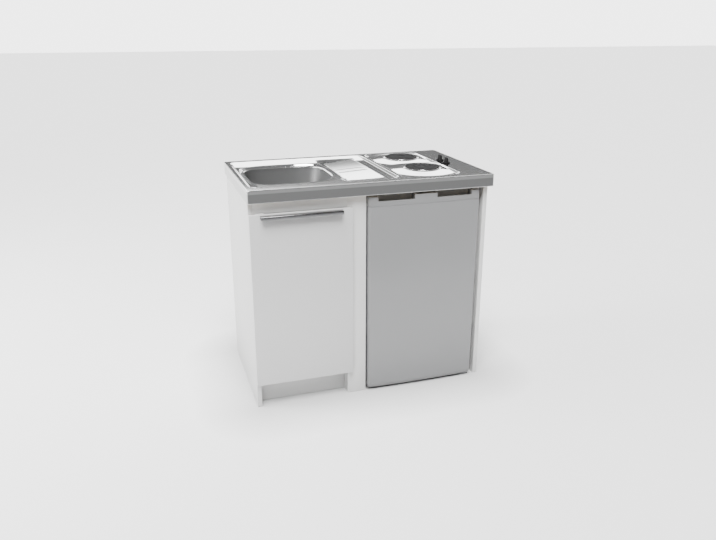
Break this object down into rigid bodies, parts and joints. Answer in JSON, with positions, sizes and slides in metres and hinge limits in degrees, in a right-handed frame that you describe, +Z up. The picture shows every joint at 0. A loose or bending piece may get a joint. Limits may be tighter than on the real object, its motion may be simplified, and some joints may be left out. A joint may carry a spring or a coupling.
{
  "type": "kitchenette unit with sink and hob",
  "caption": "Compact kitchenette unit: pressed steel worktop with sink bowl, drainer and two hot plates above a sink cabinet with a hinged door and an under-counter refrigerator.",
  "frame": {"origin": "on the floor, under the middle of the footprint", "axes": "+X to the right seen from the front, +Y from the front to the back, +Z up"},
  "size_m": [1, 0.6184, 0.9251],
  "materials": {
    "sheet_steel": "fine satin pressed stainless steel",
    "batten_board": "raw chipboard",
    "white_board": "white melamine on chipboard",
    "door_board": "white melamine on chipboard with a lipped edge",
    "handle_metal": "satin anodised",
    "hinge_metal": "nickel plated",
    "drain_plastic": "white polypropylene",
    "plate_iron": "dark coated cast iron",
    "ring_steel": "bright stainless rim",
    "bracket_steel": "galvanised sheet",
    "black_plastic": "satin black",
    "fridge_white": "white enamelled cabinet with white liner",
    "fridge_grey": "light silver grey lacquer",
    "grip_plastic": "light silver grey",
    "liner_plastic": "white",
    "gasket_rubber": "soft light grey",
    "shelf_glass": "clear float glass",
    "freezer_metal": "satin",
    "dial_plastic": "light grey",
    "black_paint": "satin black paint"
  },
  "bodies": {
    "carcase": {"worktop_sheet": "sheet_steel", "front_batten": "batten_board", "rear_batten": "batten_board", "left_batten": "batten_board", "right_batten": "batten_board", "left_side_panel": "white_board", "right_side_panel": "white_board", "partition_panel": "white_board", "filler_panel": "white_board", "front_rail": "white_board", "cabinet_bottom": "white_board", "rear_rail": "white_board", "niche_rear_rail": "white_board", "plinth_board": "white_board", "cabinet_back": "white_board", "hinge_arm_upper": "hinge_metal", "hinge_arm_lower": "hinge_metal", "sink_strainer": "sheet_steel", "trap_body": "drain_plastic", "trap_bottle": "drain_plastic", "waste_pipe": "drain_plastic", "hot_plate_rear": "plate_iron", "hot_plate_front": "plate_iron", "plate_ring_rear": "ring_steel", "plate_ring_front": "ring_steel", "plate_bridge_rear": "bracket_steel", "plate_bridge_front": "bracket_steel", "hob_switch_rear": "black_plastic", "hob_switch_front": "black_plastic", "hob_tray": "bracket_steel", "fridge_body": "fridge_white", "fridge_hinge_top": "bracket_steel", "fridge_hinge_bottom": "bracket_steel", "glass_shelf": "shelf_glass", "crisper_cover": "shelf_glass", "crisper": "liner_plastic", "freezer_box": "freezer_metal", "thermostat_housing": "liner_plastic", "compressor": "black_paint", "condenser": "black_paint", "fridge_foot_left": "black_plastic", "fridge_foot_right": "black_plastic"},
    "sink_door": {"cabinet_door": "door_board", "door_handle": "handle_metal", "hinge_cup_upper": "hinge_metal", "hinge_cup_lower": "hinge_metal"},
    "upper_link": {"hinge_link_upper": "hinge_metal"},
    "lower_link": {"hinge_link_lower": "hinge_metal"},
    "fridge_door": {"fridge_door_panel": "fridge_grey", "fridge_grip_strip": "grip_plastic", "fridge_bottom_cap": "grip_plastic", "fridge_door_liner": "liner_plastic", "fridge_door_gasket": "gasket_rubber", "door_rack_upper": "liner_plastic", "door_rack_lower": "liner_plastic"},
    "rear_knob": {"hob_knob_rear": "black_plastic"},
    "front_knob": {"hob_knob_front": "black_plastic"},
    "dial": {"thermostat_dial": "dial_plastic"},
    "ice_flap": {"freezer_flap": "liner_plastic"},
    "basket": {"strainer_basket": "sheet_steel"}
  },
  "joints": [
    {"name": "sink_door_swing", "type": "hinge", "parent": "carcase", "child": "sink_door", "pos_m": [-0.4912, -0.27835, 0.455], "axis": [0, 0, -1], "range_deg": [0, 95]},
    {"name": "upper_link_turn", "type": "hinge", "parent": "carcase", "child": "upper_link", "pos_m": [-0.465, -0.26735, 0.706], "axis": [0, 0, 1], "range_deg": [0, 37]},
    {"name": "lower_link_turn", "type": "hinge", "parent": "carcase", "child": "lower_link", "pos_m": [-0.465, -0.26735, 0.204], "axis": [0, 0, 1], "range_deg": [0, 37]},
    {"name": "fridge_door_swing", "type": "hinge", "parent": "carcase", "child": "fridge_door", "pos_m": [0.432, -0.26085, 0.42], "axis": [0, 0, 1], "range_deg": [0, 110]},
    {"name": "rear_knob_turn", "type": "hinge", "parent": "carcase", "child": "rear_knob", "pos_m": [0.412, 0.04715, 0.91], "axis": [0, 0, -1], "continuous": true},
    {"name": "front_knob_turn", "type": "hinge", "parent": "carcase", "child": "front_knob", "pos_m": [0.412, -0.01885, 0.91], "axis": [0, 0, -1], "continuous": true},
    {"name": "dial_turn", "type": "hinge", "parent": "carcase", "child": "dial", "pos_m": [0.365, -0.00485, 0.6], "axis": [-1, 0, 0], "range_deg": [0, 270]},
    {"name": "ice_flap_swing", "type": "hinge", "parent": "carcase", "child": "ice_flap", "pos_m": [0.208, -0.09885, 0.7897], "axis": [-1, 0, 0], "range_deg": [0, 80]},
    {"name": "basket_lift", "type": "slide", "parent": "carcase", "child": "basket", "axis": [0, 0, 1], "range_m": [0, 0.05]}
  ],
  "couplings": [
    {"joint": "upper_link_turn", "follows": "sink_door_swing", "ratio": 0.383},
    {"joint": "lower_link_turn", "follows": "sink_door_swing", "ratio": 0.383}
  ]
}
